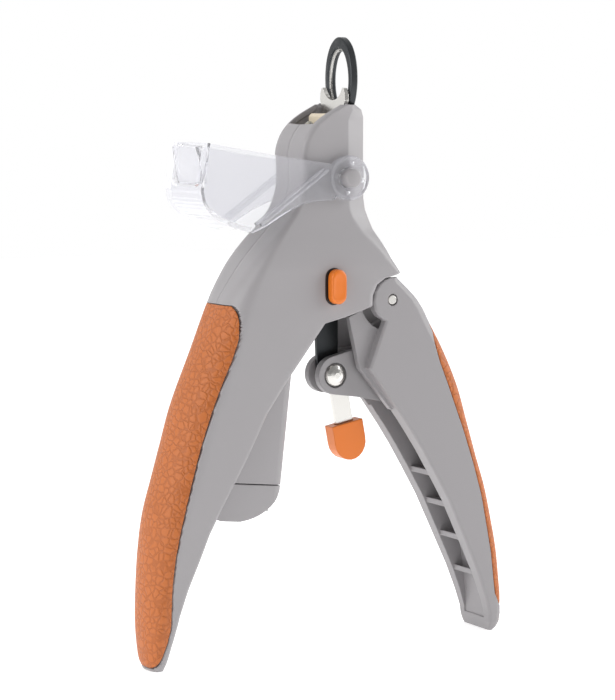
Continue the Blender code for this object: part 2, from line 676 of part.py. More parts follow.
def make_hood(palette):
    finish = palette["clear"]
    inner, outer = HOOD_FACES
    arm = arc(HOOD_PIVOT, HOOD_DISC_RADIUS, 140, -130, 24)
    scoop = smooth_path(HOOD_END, 18)
    outline = HOOD_TOP[::-1] + arm + smooth_path(HOOD_UNDER, 12)[::-1] + scoop[::-1]
    hood = slab("magnifier_hood", outline, -outer, -inner, finish)
    far = slab("far_arm", outline, inner, outer, finish)
    outer_line = [HOOD_TOP[-1]] + scoop
    tangents = np.gradient(np.array(outer_line), axis=0)
    tangents /= np.linalg.norm(tangents, axis=1)[:, None]
    wall = 1.5
    skins = [[(x - depth * t[1], z + depth * t[0]) for (x, z), t in zip(outer_line, tangents)]
             for depth in (0.08, wall)]
    band = slab("band", skins[0] + skins[1][::-1], -inner - 0.4, inner + 0.4, finish)
    join(hood, band, far)
    window = hood_window(7.0 + GAP, 5.2 + GAP, "window", finish, 6.0)
    bores = [slab("bore", disc(HOOD_PIVOT, BOSS_RADIUS + GAP, 22), low, high, finish)
             for low, high in ((-13, -7), (7, 13))]
    cut(hood, window, *bores)
    lens = make_lens(palette)
    caps = []
    for name, side in (("hood_boss_front", -1), ("hood_boss_rear", 1)):
        profile = [(side * 8.65, BOSS_RADIUS), (side * (BOSS_END - 0.4), BOSS_RADIUS),
                   (side * BOSS_END, BOSS_RADIUS - 0.4)]
        if side < 0:
            profile.reverse()
        caps.append(turned(name, profile, HOOD_PIVOT, palette["shell"], 22))
    return [hood, lens, *caps]


LENS_MIDDLE = (-40.8, 134.4)    # X, Z of the middle of the hood's end wall
LENS_LEAN = math.atan2(-42.6 + 40.5, 128.2 - 140.6)


def hood_window(half_width, half_height, name, finish, depth):
    """A round-cornered block through the end wall, in the wall's own slant."""
    corner = 1.6
    loop = []
    for cy, cz, start in ((half_width - corner, half_height - corner, 0),
                          (corner - half_width, half_height - corner, 90),
                          (corner - half_width, corner - half_height, 180),
                          (half_width - corner, corner - half_height, 270)):
        loop += [(y, LENS_MIDDLE[1] + z) for y, z in arc((cy, cz), corner, start, start + 90, 4)]
    block = slab(name, loop, LENS_MIDDLE[0] - depth / 2, LENS_MIDDLE[0] + depth / 2, finish,
                 normal="X")
    return turned_up(block, LENS_MIDDLE, LENS_LEAN + math.pi)


def make_lens(palette):
    """A rectangular magnifying lens, thickest in the middle."""
    half_width, half_height, corner = 7.0, 5.2, 1.6
    loops = []
    for share, bulge in ((0.3, 1.0), (0.62, 0.75), (0.86, 0.42), (1.0, 0.0)):
        loops.append((share, -1.55 + 0.6 - bulge))
    rims = []
    for share, x in loops:
        loop = []
        for sy, sz, start in ((1, 1, 0), (-1, 1, 90), (-1, -1, 180), (1, -1, 270)):
            cy, cz = sy * (half_width * share - corner * share), sz * share * (half_height - corner)
            loop += arc((cy, cz), corner * share, start, start + 90, 4)
        rims.append([(LENS_MIDDLE[0] + 0.75 + x, y, LENS_MIDDLE[1] + z) for y, z in loop])
    flat = [(LENS_MIDDLE[0] + 0.75 + 0.3, y, z) for _, y, z in rims[-1]]
    lens = loft("magnifier_lens", rims + [flat], palette["clear"])
    return turned_up(lens, LENS_MIDDLE, LENS_LEAN + math.pi)


# ---------------------------------------------------------------- lamp, switch and battery

def make_electrics(palette):
    x, z = SWITCH
    button = slab("switch_button", disc_slot(SWITCH, SWITCH_SIZE), -13.1, -10.8,
                  palette["orange"])
    join(button, slab("stem", disc_slot((x, z), (1.8, 3.6)), -10.9, -6.6, palette["orange"]))
    body = slab("switch_body", [(x - 3, z - 5), (x + 3, z - 5), (x + 3, z + 5), (x - 3, z + 5)],
                -6.2, -3.4, palette["bright"])
    board = slab("circuit_board", [(x - 5.5, z - 3.4), (x + 5.5, z - 3.4), (x + 5.5, z + 8),
                                   (x - 5.5, z + 8)], -3.1, -2.1, palette["board"])
    lamp = turned("led_lamp", [(141.0, 1.5), (144.4, 1.5), (145.4, 1.1), (145.9, 0.5)],
                  (0, 0), palette["lamp"], 16)
    for vertex in lamp.data.vertices:
        a, along, b = vertex.co
        vertex.co = (a - MM * 3.9, b, along)
    refresh(lamp)
    return [button, body, board, lamp]


def refresh(obj):
    work = bmesh.new()
    work.from_mesh(obj.data)
    bmesh.ops.recalc_face_normals(work, faces=work.faces)
    work.to_mesh(obj.data)
    work.free()


def make_battery(palette):
    finish = palette["shell"]
    housing = bay_box("battery_housing", BAY_HALF, 0.0, 48.6, 88.4, finish)
    keep(housing, casing_blank("core", SKIN + 1.0, finish))
    pieces = []
    for x, z in CELL_FOOT:
        for radius, low, high, target in ((CELL_RADIUS + GAP, 30.0, 87.6, "room"),):
            room = turned_upright("room", radius, x, low, high, finish, 20)
            cut(housing, room)
    between = slab("between", [(-33.6, 30), (-23.0, 30), (-23.0, 87.6), (-33.6, 87.6)],
                   -2.6, 2.6, finish)
    cut(housing, turned_up(between, CELL_FOOT[0], CELL_TILT))
    swing = math.hypot(PIVOT[0] - RIVET[0], PIVOT[1] - RIVET[1]) + EAR_RADIUS + 0.6
    cut(housing, slab("ear_way", disc(PIVOT, swing, 72), -EAR_ROOM_HALF, EAR_ROOM_HALF, finish))
    pieces.append(housing)
    for i, (x, z) in enumerate(CELL_FOOT):
        cell = cell_solid(f"battery_cell_{i + 1}", x, i == 1, palette["cell"])
        pieces.append(cell)
    cap = make_battery_cap(palette)
    plate = slab("contact_plate", [(-37.9, 40.9), (-18.7, 40.9), (-18.7, 41.4), (-37.9, 41.4)],
                 -3.5, 3.5, palette["spring"])
    turned_up(plate, CELL_FOOT[0], CELL_TILT)
    pieces += [cap, plate]
    for i, (x, _) in enumerate(CELL_FOOT):
        tab = turned_upright(f"contact_tab_{i + 1}", 2.6, x, 86.6, 87.2, palette["spring"], 14)
        pieces.append(tab)
    return pieces


def turned_upright(name, radius, x, low, high, finish, count):
    rod = slab(name, disc((x, 0.0), radius, count), low, high, finish, normal="Z")
    return turned_up(rod, CELL_FOOT[0], CELL_TILT)


def cell_solid(name, x, upside_down, finish):
    """An AAA cell: a wrapped can with its small positive button."""
    foot = CELL_FOOT[0][1]
    button, can = 0.8, CELL_LENGTH - 0.8
    levels = [(0.0, 5.0), (0.3, CELL_RADIUS), (can - 0.3, CELL_RADIUS), (can, 5.0),
              (can, 1.9), (can + button, 1.9)]
    if upside_down:
        levels = [(CELL_LENGTH - along, radius) for along, radius in reversed(levels)]
    loops = [[(a, b, foot + along) for a, b in disc((x, 0.0), radius, 20)]
             for along, radius in levels]
    return turned_up(loft(name, loops, finish), CELL_FOOT[0], CELL_TILT)


def make_battery_cap(palette):
    """The bay's rounded cap, which slides off downwards."""
    finish = palette["shell"]
    cap = bay_box("battery_cap", BAY_HALF, 0.0, 38.2, 48.3, finish)
    centre = (-30.2, 49.5)
    bowl = slab("bowl", [(-60, 60), (-60, 20), (0, 20), (0, 60)], -12, 12, finish)
    under = slab("under", arc(centre, (14.0, 10.6), 180, 360, 22)
                 + [(-16.2, 56), (-44.2, 56)], -11, 11, finish)
    cut(bowl, under)
    cut(cap, bowl)
    room = slab("cap_room", [(-39.2, 41.5), (-17.4, 41.5), (-17.4, 52), (-39.2, 52)],
                -5.5, 5.5, finish)
    cut(cap, turned_up(room, CELL_FOOT[0], CELL_TILT))
    seat = slab("seat", [(-38.3, 40.5), (-18.3, 40.5), (-18.3, 42.2), (-38.3, 42.2)],
                -3.9, 3.9, finish)
    cut(cap, turned_up(seat, CELL_FOOT[0], CELL_TILT))
    return cap


# ---------------------------------------------------------------- assembly

JOINT_ORIGINS = {
    "lever": (PIVOT[0], 0.0, PIVOT[1]), "lever_grip": (PIVOT[0], 0.0, PIVOT[1]),
    "link_rivet": (RIVET[0], 0.0, RIVET[1]), "drive_link": (RIVET[0], 0.0, RIVET[1]),
    "lock_strap": (RIVET[0], 0.0, RIVET[1]), "lock_tip": (RIVET[0], 0.0, RIVET[1]),
    "magnifier_hood": (HOOD_PIVOT[0], 0.0, HOOD_PIVOT[1]),
    "magnifier_lens": (HOOD_PIVOT[0], 0.0, HOOD_PIVOT[1]),
}


def main():
    for old in list(bpy.data.objects):
        bpy.data.objects.remove(old)
    palette = make_palette()
    pieces = [
        *make_casings(palette), *make_lever(palette), *make_pins(palette),
        *make_linkage(palette), *make_blade(palette), *make_ring(palette),
        *make_return_spring(palette), *make_lock(palette), *make_hood(palette),
        *make_electrics(palette), *make_battery(palette),
    ]
    for piece in pieces:
        finish_object(piece, JOINT_ORIGINS.get(piece.name))


main()
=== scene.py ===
"""The finished look of the lighted pet nail trimmer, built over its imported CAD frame."""

import enum
import json
import math
from dataclasses import dataclass, field
from typing import Any

import bpy
import numpy as np
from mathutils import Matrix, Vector


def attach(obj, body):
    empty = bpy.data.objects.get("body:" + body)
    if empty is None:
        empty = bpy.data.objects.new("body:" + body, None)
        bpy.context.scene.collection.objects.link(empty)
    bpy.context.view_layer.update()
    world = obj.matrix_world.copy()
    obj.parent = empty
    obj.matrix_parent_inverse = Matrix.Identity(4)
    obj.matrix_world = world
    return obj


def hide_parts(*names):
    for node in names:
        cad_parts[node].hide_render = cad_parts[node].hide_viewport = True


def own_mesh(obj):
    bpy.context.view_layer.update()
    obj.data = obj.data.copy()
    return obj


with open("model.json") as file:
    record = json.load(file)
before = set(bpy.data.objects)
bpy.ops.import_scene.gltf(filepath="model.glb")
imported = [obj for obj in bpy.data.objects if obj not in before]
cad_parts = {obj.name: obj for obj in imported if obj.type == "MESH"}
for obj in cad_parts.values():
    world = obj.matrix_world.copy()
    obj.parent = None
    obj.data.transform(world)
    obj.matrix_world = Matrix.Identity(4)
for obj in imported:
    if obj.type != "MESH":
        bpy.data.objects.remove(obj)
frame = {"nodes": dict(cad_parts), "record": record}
MM = 0.001


# ---------------------------------------------------------------- finishes

def linear(code: str) -> tuple[float, float, float, float]:
    """Turns an sRGB hex code into the linear colour that Blender's shaders take."""
    parts = [int(code[i:i + 2], 16) / 255 for i in (1, 3, 5)]
    done = [c / 12.92 if c <= 0.04045 else ((c + 0.055) / 1.055) ** 2.4 for c in parts]
    return (*done, 1.0)


def add_node(tree: Any, kind: str, links: dict[str, Any] | None = None, **values: Any) -> Any:
    """Adds a shader node.

    Args:
        tree: The material's node tree.
        kind: The node's class name.
        links: Input names, each with the output socket that feeds it.
        values: Input values by name with spaces as underscores, or plain node settings.
    Returns:
        The new node.
    """
    made = tree.nodes.new(kind)
    for name, value in values.items():
        label = name.replace("_", " ")
        if label in made.inputs:
            made.inputs[label].default_value = value
        else:
            setattr(made, name, value)
    for name, socket in (links or {}).items():
        tree.links.new(socket, made.inputs[name])
    return made


class Texture(enum.Enum):
    """The fine relief of a surface."""

    SPARK = "fine spark-eroded grain"
    PEBBLE = "pebbled cells"
    BRUSHED = "grinding lines"
    NONE = "polished"


@dataclass(frozen=True)
class Finish:
    """One real material and its finish; lengths are in millimetres.

    `grain` is the width of a cell, `relief` its height and `edge` the radius
    of rounded edges. `clear` is the share of light let through, `index` its
    refraction, and the last field the darker colour painted into the grooves
    between pebbles as their shade.
    """

    name: str
    colour: str
    roughness: float
    metallic: float = 0.0
    texture: Texture = Texture.SPARK
    grain: float = 0.25
    relief: float = 0.02
    edge: float = 0.4
    clear: float = 0.0
    index: float = 1.5
    # Painted shade: the darker colour laid into the grooves between pebbles.
    painted_groove_shade: str = "#A95B23"

    def build(self) -> bpy.types.Material:
        """Makes the material, with its relief on the piece's own object coordinates."""
        made = bpy.data.materials.new(self.name)
        made.use_nodes = True
        tree = made.node_tree
        shader = tree.nodes["Principled BSDF"]
        shader.inputs["Base Color"].default_value = linear(self.colour)
        shader.inputs["Roughness"].default_value = self.roughness
        shader.inputs["Metallic"].default_value = self.metallic
        shader.inputs["IOR"].default_value = self.index
        if self.clear:
            shader.inputs["Transmission Weight"].default_value = self.clear
            return made
        rounded = add_node(tree, "ShaderNodeBevel", Radius=self.edge * MM, samples=8)
        normal = rounded.outputs["Normal"]
        if self.texture is not Texture.NONE:
            normal = self.relief_normal(tree, normal)
        tree.links.new(normal, shader.inputs["Normal"])
        return made

    def relief_normal(self, tree: Any, normal: Any) -> Any:
        """Feeds the grain through a bump; each cell or line is `grain` millimetres across."""
        place = add_node(tree, "ShaderNodeTexCoord").outputs["Object"]
        if self.texture is Texture.BRUSHED:
            place = add_node(tree, "ShaderNodeMapping", {"Vector": place},
                             Scale=(1.0, 1.0, 0.04)).outputs["Vector"]
        if self.texture is Texture.PEBBLE:
            waver = add_node(tree, "ShaderNodeTexNoise", {"Vector": place},
                             Scale=0.6 / (self.grain * MM), Detail=2.0).outputs["Color"]
            amount = add_node(tree, "ShaderNodeVectorMath", {"Vector": waver},
                              operation="SCALE", Scale=1.1 * self.grain * MM).outputs["Vector"]
            bent = tree.nodes.new("ShaderNodeVectorMath")
            tree.links.new(place, bent.inputs[0])
            tree.links.new(amount, bent.inputs[1])
            place = bent.outputs["Vector"]
            cells = add_node(tree, "ShaderNodeTexVoronoi", {"Vector": place},
                             feature="DISTANCE_TO_EDGE", Scale=1.0 / (self.grain * MM))
            height = add_node(tree, "ShaderNodeMapRange", {"Value": cells.outputs["Distance"]},
                              interpolation_type="SMOOTHSTEP", From_Max=0.2).outputs["Result"]
            # Painted shade: the grooves between pebbles are mixed towards a darker colour.
            groove_shade_blend = add_node(tree, "ShaderNodeMix", {"Factor": height}, data_type="RGBA")
            groove_shade_blend.inputs[6].default_value = linear(self.painted_groove_shade)
            groove_shade_blend.inputs[7].default_value = linear(self.colour)
            shader = tree.nodes["Principled BSDF"]
            tree.links.new(groove_shade_blend.outputs[2], shader.inputs["Base Color"])
        else:
            noise = add_node(tree, "ShaderNodeTexNoise", {"Vector": place},
                             Scale=1.0 / (self.grain * MM), Detail=3.0)
            height = noise.outputs["Fac"]
        bump = add_node(tree, "ShaderNodeBump", {"Height": height, "Normal": normal},
                        Strength=1.0, Distance=self.relief * MM)
        return bump.outputs["Normal"]


FINISHES = {
    # Grey ABS with a satin spark-eroded grain.
    "shell": Finish("grey_abs_satin", "#9A9799", 0.42, grain=0.3, relief=0.008, edge=0.5),
    # Glass-filled grey nylon, a little duller than the casing.
    "lever": Finish("grey_nylon_satin", "#949193", 0.45, grain=0.3, relief=0.01, edge=0.4),
    # Orange thermoplastic rubber with 1.9 mm leathery pebbles.
    "grip": Finish("orange_tpr_pebbled", "#B9662B", 0.5, texture=Texture.PEBBLE, grain=1.9,
                   relief=0.12, edge=0.5),
    # Orange acetal, semi-gloss.
    "orange": Finish("orange_acetal", "#DD7420", 0.35, grain=0.2, relief=0.004, edge=0.5),
    # Clear moulded polycarbonate.
    "clear": Finish("clear_polycarbonate", "#F6F6F9", 0.1, clear=0.88, index=1.2),
    # Black-oxide tool steel.
    "black": Finish("black_oxide_steel", "#3C3E40", 0.38, 0.85, Texture.BRUSHED, 0.2, 0.004, 0.25),
    # Ground stainless steel.
    "bright": Finish("ground_stainless", "#D6D4D0", 0.24, 1.0, Texture.BRUSHED, 0.15, 0.003, 0.15),
    # Bare spring steel.
    "spring": Finish("spring_steel", "#A8A8A8", 0.3, 1.0, Texture.NONE, edge=0.1),
    # Cream acetal of the blade's slide.
    "cream": Finish("cream_acetal", "#D8CBB4", 0.5, grain=0.2, relief=0.004, edge=0.3),
    # Green lacquered circuit board.
    "board": Finish("board_lacquer", "#1F5A38", 0.45, texture=Texture.NONE, edge=0.1),
    # Dark shrink wrap on the cells.
    "cell": Finish("cell_wrap", "#33353A", 0.35, texture=Texture.NONE, edge=0.2),
    # Clear epoxy of the lamp.
    "lamp": Finish("lamp_epoxy", "#F4F2E6", 0.08, clear=0.7),
}
MATERIALS = {slot: finish.build() for slot, finish in FINISHES.items()}


# ---------------------------------------------------------------- surfaces

def curve(knots: list[tuple[float, float]], at: np.ndarray) -> np.ndarray:
    """Values at the places `at` of a smooth curve through (place, value) knots."""
    places, values = (np.array(side, float) for side in zip(*knots))
    steps = np.diff(values) / np.diff(places)
    slopes = np.concatenate([steps[:1], (steps[:-1] + steps[1:]) / 2, steps[-1:]])
    slopes[1:-1][steps[:-1] * steps[1:] <= 0] = 0.0
    at = np.clip(np.asarray(at, float), places[0], places[-1])
    i = np.clip(np.searchsorted(places, at) - 1, 0, len(places) - 2)
    width = places[i + 1] - places[i]
    t = (at - places[i]) / width
    start, end = slopes[i] * width, slopes[i + 1] * width
    return (values[i] * (1 + 2 * t) * (1 - t) ** 2 + start * t * (1 - t) ** 2
            + values[i + 1] * t * t * (3 - 2 * t) + end * t * t * (t - 1))


def surface(name: str, points: np.ndarray, slot: str, body: str, nodes: tuple[str, ...] = (),
            around: bool = False, along: bool = False) -> bpy.types.Object:
    """Makes a piece from a grid of points and puts it on the frame.

    Args:
        name: The piece's name.
        points: Rows by columns by XYZ, in millimetres.
        slot: The record's material slot.
        body: The moving body that carries it.
        nodes: The CAD nodes that it stands in for.
        around: Joins the last column to the first.
        along: Joins the last row to the first.
    Returns:
        The new piece.
    """
    rows, columns = points.shape[:2]
    r = np.arange(rows if along else rows - 1)[:, None]
    c = np.arange(columns if around else columns - 1)[None, :]
    r2, c2 = (r + 1) % rows, (c + 1) % columns
    quads = np.stack([r * columns + c, r * columns + c2, r2 * columns + c2, r2 * columns + c],
                     axis=-1).reshape(-1, 4)
    mesh = bpy.data.meshes.new(name)
    mesh.from_pydata((points.reshape(-1, 3) * MM).tolist(), [], quads.tolist())
    mesh.polygons.foreach_set("use_smooth", np.ones(len(quads), bool))
    mesh.materials.append(MATERIALS[slot])
    made = bpy.data.objects.new(name, mesh)
    bpy.context.scene.collection.objects.link(made)
    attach(made, body)
    if nodes:
        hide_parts(*nodes)
    print(f"{name}: {len(quads)} quads on {body}")
    return made


def thicken(piece: bpy.types.Object, wall: float, bevel: float = 0.0) -> None:
    """Gives a sheet a wall behind it, with its rims rounded if `bevel` is set."""
    solid = piece.modifiers.new("wall", "SOLIDIFY")
    solid.thickness, solid.offset = wall * MM, -1.0
    if bevel:
        edge = piece.modifiers.new("rim", "BEVEL")
        edge.width, edge.segments, edge.limit_method = bevel * MM, 2, "ANGLE"
        edge.angle_limit = math.radians(50)


def resampled(x: np.ndarray, y: np.ndarray, count: int) -> np.ndarray:
    """Points at equal steps along one polyline, as count by 2."""
    run = np.concatenate([[0.0], np.cumsum(np.hypot(np.diff(x), np.diff(y)))])
    at = np.linspace(0.0, run[-1], count)
    return np.stack([np.interp(at, run, x), np.interp(at, run, y)], axis=1)


def turned(name: str, profile: list[tuple[float, float]], centre: tuple[float, float],
           side: int, slot: str, body: str, nodes: tuple[str, ...] = ()) -> bpy.types.Object:
    """Turns a profile of (depth, radius) about a Y axis through the centre (X, Z)."""
    depth, radius = (np.array(v, float)[:, None] for v in zip(*profile))
    turn = np.linspace(0, 2 * np.pi, 48, endpoint=False)[None, :] * side
    points = np.stack([centre[0] + radius * np.cos(turn), side * depth + 0 * turn,
                       centre[1] + radius * np.sin(turn)], axis=-1)
    return surface(name, points, slot, body, nodes, around=True)


# ---------------------------------------------------------------- casing and grips

@dataclass
class Casing:
    """The two moulded halves of the body and fixed handle, and the handle's soft grip.

    Each list of knots is (height, value). `left` and `right` are the outline's
    sides, `half` is half its depth, and `run` and `bite` are the width and the
    depth of its outer corner. `mouth` is the opening towards the lever, and
    `slot_foot` is where the head's slot begins.
    """

    left: list = field(default_factory=lambda: [
        (0, -54.4), (2, -55.2), (6, -55.8), (13, -56.1), (20.5, -56.0), (31, -55.3),
        (42, -53.7), (51, -51.1), (60, -48.4), (70, -45.3), (84.8, -38.9), (99.2, -31.8),
        (105, -27.8), (110, -23.8), (113.5, -20.5), (117.5, -16.6), (121, -13.6), (125, -11.5),
        (131, -10.4), (137, -10.6), (140.5, -9.8), (143.4, -8.2), (145.8, -5.9), (147.9, -2.8),
        (150.4, 2.0)])
    right: list = field(default_factory=lambda: [
        (0, -50.7), (5, -49.6), (14.8, -47.4), (22.4, -44.9), (29.6, -42.0), (36.6, -39.3),
        (42.8, -36.1), (49.7, -32.1), (56.6, -28.1), (68, -22.2), (76.9, -15.8), (91.5, -4.2),
        (93.0, 2.4), (94.5, 7.5), (95.6, 10.8), (98.5, 10.9), (101.4, 12.3), (103.1, 14.9),
        (104.0, 19.0), (104.4, 19.8), (108.1, 17.4), (110.9, 15.9), (116.3, 12.3),
        (121.9, 10.2), (125, 9.7), (137, 9.6), (147, 9.6), (149, 9.0), (150.4, 7.0)])
    half: list = field(default_factory=lambda: [
        (0, 4.2), (2, 5.3), (7, 6.5), (13, 7.6), (20, 8.1), (31, 9.2), (43, 10.0), (60, 10.4),
        (75, 10.5), (106, 10.5), (113, 9.7), (118, 8.7), (123, 8.3), (150.4, 8.3)])
    run: list = field(default_factory=lambda: [
        (0, 2.2), (7, 3.0), (20, 5.0), (43, 8.0), (75, 8.5), (95, 6.5), (110, 3.0), (120, 1.5),
        (150.4, 1.5)])
    bite: list = field(default_factory=lambda: [
        (0, 4.1), (7, 6.4), (20, 8.0), (43, 9.8), (75, 10.3), (95, 8.5), (110, 4.0),
        (120, 1.6), (150.4, 1.6)])
    grip_edge: list = field(default_factory=lambda: [
        (1, -54.4), (2, -53.6), (4, -52.5), (8, -51.3), (12, -50.6), (24, -50.5), (31, -49.9),
        (38, -48.6), (45, -46.9),
        (53, -44.7), (60, -42.7), (69, -39.6), (76.5, -36.5), (83, -33.4), (88.6, -31.3),
        (93, -30.9), (96, -31.3), (97.4, -32.0)])
    wall: float = 1.5
    grip_wall: float = 1.2
    grip_zone: tuple[float, float] = (0.9, 97.4)
    mouth: tuple[float, float] = (34.4, 104.3)
    mouth_half: float = 7.5
    slot_foot: float = 145.3
    slot_half: float = 6.3
    seam: float = 0.03
    shoulder: float = 104.0

    def levels(self) -> np.ndarray:
        """Heights of the sections, closer where the outline turns."""
        return np.unique(np.round(np.concatenate([
            np.linspace(0, 6, 12), np.linspace(6, 90, 90), np.linspace(90, 112, 90),
            np.linspace(112, 140, 50), np.linspace(140, 150.4, 40)]), 3))

    def section(self, z: float) -> tuple[np.ndarray, np.ndarray]:
        """The front of the outline at height z, from its left side to its right side.

        An elliptic corner, the flat front and a second corner. Above the
        shoulders the second corner flattens into the head's slanted facet.
        """
        left, half, run, bite = (float(curve(k, z)) for k in (
            self.left, self.half, self.run, self.bite))
        right = float(np.interp(z, *zip(*self.right)))
        facet = float(np.clip((z - self.shoulder) / 16, 0, 1))
        run = min(run, 0.45 * (right - left))
        bite = min(bite, half - 0.3)
        over, drop = 1.6 + 5.1 * facet, 1.8 + 0.5 * facet
        over = min(over, 0.45 * (right - left))
        t = np.linspace(0, np.pi / 2, 14)
        u = np.linspace(0, 1, 9)[1:]
        round_x, round_y = np.sin(u * np.pi / 2), 1 - np.cos(u * np.pi / 2)
        edge_x = right - over + over * ((1 - facet) * round_x + facet * u)
        edge_y = -half + drop * ((1 - facet) * round_y + facet * u)
        x = np.concatenate([left + run * (1 - np.cos(t)), edge_x])
        y = np.concatenate([-(half - bite) - bite * np.sin(t), edge_y])
        return x, y

    def half_points(self, inset: float) -> np.ndarray:
        """The front half's grid, sunk by `inset` where the soft grip lies over it."""
        rows = []
        for z in self.levels():
            x, y = self.section(z)
            slotted = z >= self.slot_foot
            seam = min(-self.slot_half, y[0] + 0.05) if slotted else -self.seam
            end = -self.mouth_half if self.mouth[0] < z < self.mouth[1] else -self.seam
            share = np.linspace(0, 1, 6)[:-1]
            first = np.column_stack([np.full(5, x[0]), seam + (y[0] - seam) * share])
            last = np.column_stack([np.full(5, x[-1]), end + (y[-1] - end) * share])[::-1]
            path = np.concatenate([first, resampled(x, y, 64), last])
            if self.grip_zone[0] < z < self.grip_zone[1]:
                edge = float(np.interp(z, *zip(*self.grip_edge)))
                turn = np.gradient(path, axis=0)
                turn /= np.linalg.norm(turn, axis=1)[:, None] + 1e-9
                turn[0] = turn[1]
                inward = np.stack([-turn[:, 1], turn[:, 0]], axis=1)
                path = path + inset * (path[:, :1] < edge + 0.3) * inward
            rows.append(np.column_stack([path, np.full(len(path), z)]))
        return np.array(rows)

    def grip_points(self) -> np.ndarray:
        """The soft grip's grid: the outline's outer side from its front to its back edge."""
        rows = []
        for z in np.linspace(1.0, 97.2, 124):
            x, y = self.section(z)
            path = resampled(np.concatenate([[x[0]], x]), np.concatenate([[0.0], y]), 400)
            edge = float(np.interp(z, *zip(*self.grip_edge)))
            path = resampled(*path[path[:, 0] <= max(edge, path[0, 0] + 0.4)].T, 40)
            whole = np.concatenate([path[::-1], path[1:] * (1, -1)])
            rows.append(np.column_stack([whole, np.full(len(whole), z)]))
        return np.array(rows)

    def build(self) -> None:
        """Builds both halves and the grip."""
        front = self.half_points(self.grip_wall + 0.1)
        rear = (front * (1, -1, 1))[:, ::-1]
        for name, grid in (("front_shell", front), ("rear_shell", rear)):
            shell = surface(name, grid, "shell", "casing", (name.split("_")[0] + "_casing",))
            thicken(shell, self.wall, 0.25)
        grip = surface("handle_grip", self.grip_points()[:, ::-1], "grip", "casing",
                       ("left_grip",))
        thicken(grip, self.grip_wall, 0.3)


@dataclass
class LeverStrip:
    """The soft strip along the lever's outer edge."""

    outer: list = field(default_factory=lambda: [
        (0, 53.6), (0.8, 54.8), (3.2, 55.9), (6.8, 56.1), (17, 55.0), (24.9, 53.8),
        (33.6, 51.8), (42.6, 49.5), (51.3, 46.6), (62, 43.2), (70.8, 40.4), (77.3, 37.6),
        (84.1, 34.1), (89.9, 30.7), (94.3, 28.3)])
    edge: list = field(default_factory=lambda: [
        (7.4, 54.7), (11, 52.8), (16, 52.0), (23.1, 51.0), (31.8, 49.1), (40.4, 47.2),
        (49.5, 44.4), (59.3, 40.9), (67.1, 37.8), (73.1, 35.4), (79, 32.9), (84.2, 31.2),
        (89.8, 30.0)])
    half: list = field(default_factory=lambda: [
        (0, 6.6), (1.5, 7.4), (8, 8.3), (17, 8.8), (30, 9.2), (45, 9.5), (104, 9.5)])
    wall: float = 1.6

    def build(self) -> None:
        """Each section is a flat front, an elliptic corner and the outer side, mirrored."""
        rows = []
        t = np.linspace(np.pi / 2, 0, 16)
        for z in np.linspace(7.6, 89.7, 100):
            outer, half = float(curve(self.outer, z)), float(curve(self.half, z))
            edge = float(np.interp(z, *zip(*self.edge)))
            x = np.concatenate([[edge - 2.0], outer - 3.2 * (1 - np.cos(t)), [outer]])
            y = np.concatenate([[-half], -(half - 3.6) - 3.6 * np.sin(t), [0.0]])
            path = resampled(x, y, 300)
            path = resampled(*path[path[:, 0] >= min(edge, outer - 0.4)].T, 30)
            whole = np.concatenate([path, path[-2::-1] * (1, -1)])
            rows.append(np.column_stack([whole, np.full(len(whole), z)]))
        strip = surface("lever_strip", np.array(rows), "grip", "lever", ("lever_grip",))
        thicken(strip, self.wall, 0.3)


# ---------------------------------------------------------------- cutting head and hood

@dataclass
class CuttingLoop:
    """The oval loop and its tang; a narrow ground bevel faces the blade."""

    centre: float = 157.5
    outer: tuple[float, float] = (7.1, 11.2)
    hole: tuple[float, float] = (4.6, 8.0)
    faces: tuple[float, float] = (5.05, 7.35)
    tang: tuple[float, float] = (5.0, 23.4)
    hole_drop: float = 0.5

    def build(self) -> None:
        """At each angle the outline is the larger of the oval and the tang's rectangle."""
        turn = np.linspace(0, 2 * np.pi, 241)[:-1]
        c, s = np.cos(turn), np.sin(turn)
        oval = 1 / np.hypot(c / self.outer[0], s / self.outer[1])
        box = np.minimum(self.tang[0] / np.maximum(abs(c), 1e-6),
                         self.tang[1] / np.maximum(abs(s), 1e-6))
        rim = np.where(s < -0.5, np.maximum(oval, box), oval)
        low, high = self.faces
        bore = 1 / np.hypot(c / self.hole[0], s / self.hole[1])
        loops = [(low, bore, 1.1), (low + 0.05, rim, -0.35), (low + 0.35, rim, 0.0),
                 (high - 0.35, rim, 0.0), (high, rim, -0.35), (high, bore, 0.35),
                 (high - 0.35, bore, 0.0), (low + 1.0, bore, 0.0)]
        rows = [np.stack([np.full_like(turn, x), (r + more) * c,
                          self.centre - self.hole_drop * (r is bore) + (r + more) * s], axis=1)
                for x, r, more in loops]
        ring = surface("cutting_loop", np.array(rows), "black", "casing", ("cutting_ring",),
                       around=True, along=True)
        ring.data.set_sharp_from_angle(angle=math.radians(40))
        slope = [(low + 0.45, bore, 0.6), (low + 0.7, bore, 0.3), (low + 0.98, bore, -0.03)]
        rows = [np.stack([np.full_like(turn, x), (r + more) * c,
                          self.centre - self.hole_drop + (r + more) * s], axis=1)
                for x, r, more in slope]
        ground = surface("loop_ground_bevel", np.array(rows), "bright", "casing", around=True)
        thicken(ground, 0.03)


@dataclass
class ReturnSpring:
    """The coil between the blade's slide and the head; the real one shortens as the slide rises,
    this one keeps one length.
    """

    middle: float = -4.6
    foot: float = 121.4
    head: float = 138.6
    lift: float = 14.6
    radius: float = 2.1
    wire: float = 0.35
    turns: int = 5

    def build(self) -> None:
        """Sweeps the wire along the coil and closes it to a point at each end."""
        share = np.linspace(0, 1, 40 * self.turns + 1)[:, None]
        turn = 2 * np.pi * self.turns * share
        around = np.linspace(0, 2 * np.pi, 12, endpoint=False)[None, :]
        wire = np.where((share == 0) | (share == 1), 0.0, self.wire)
        away = self.radius + wire * np.cos(around)
        height = self.foot + (self.head - self.foot) * share + wire * np.sin(around)
        points = np.stack([self.middle + away * np.cos(turn), away * np.sin(turn), height], axis=-1)
        coil = surface("return_coil", points, "spring", "casing", ("return_spring",), around=True)
        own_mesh(coil)


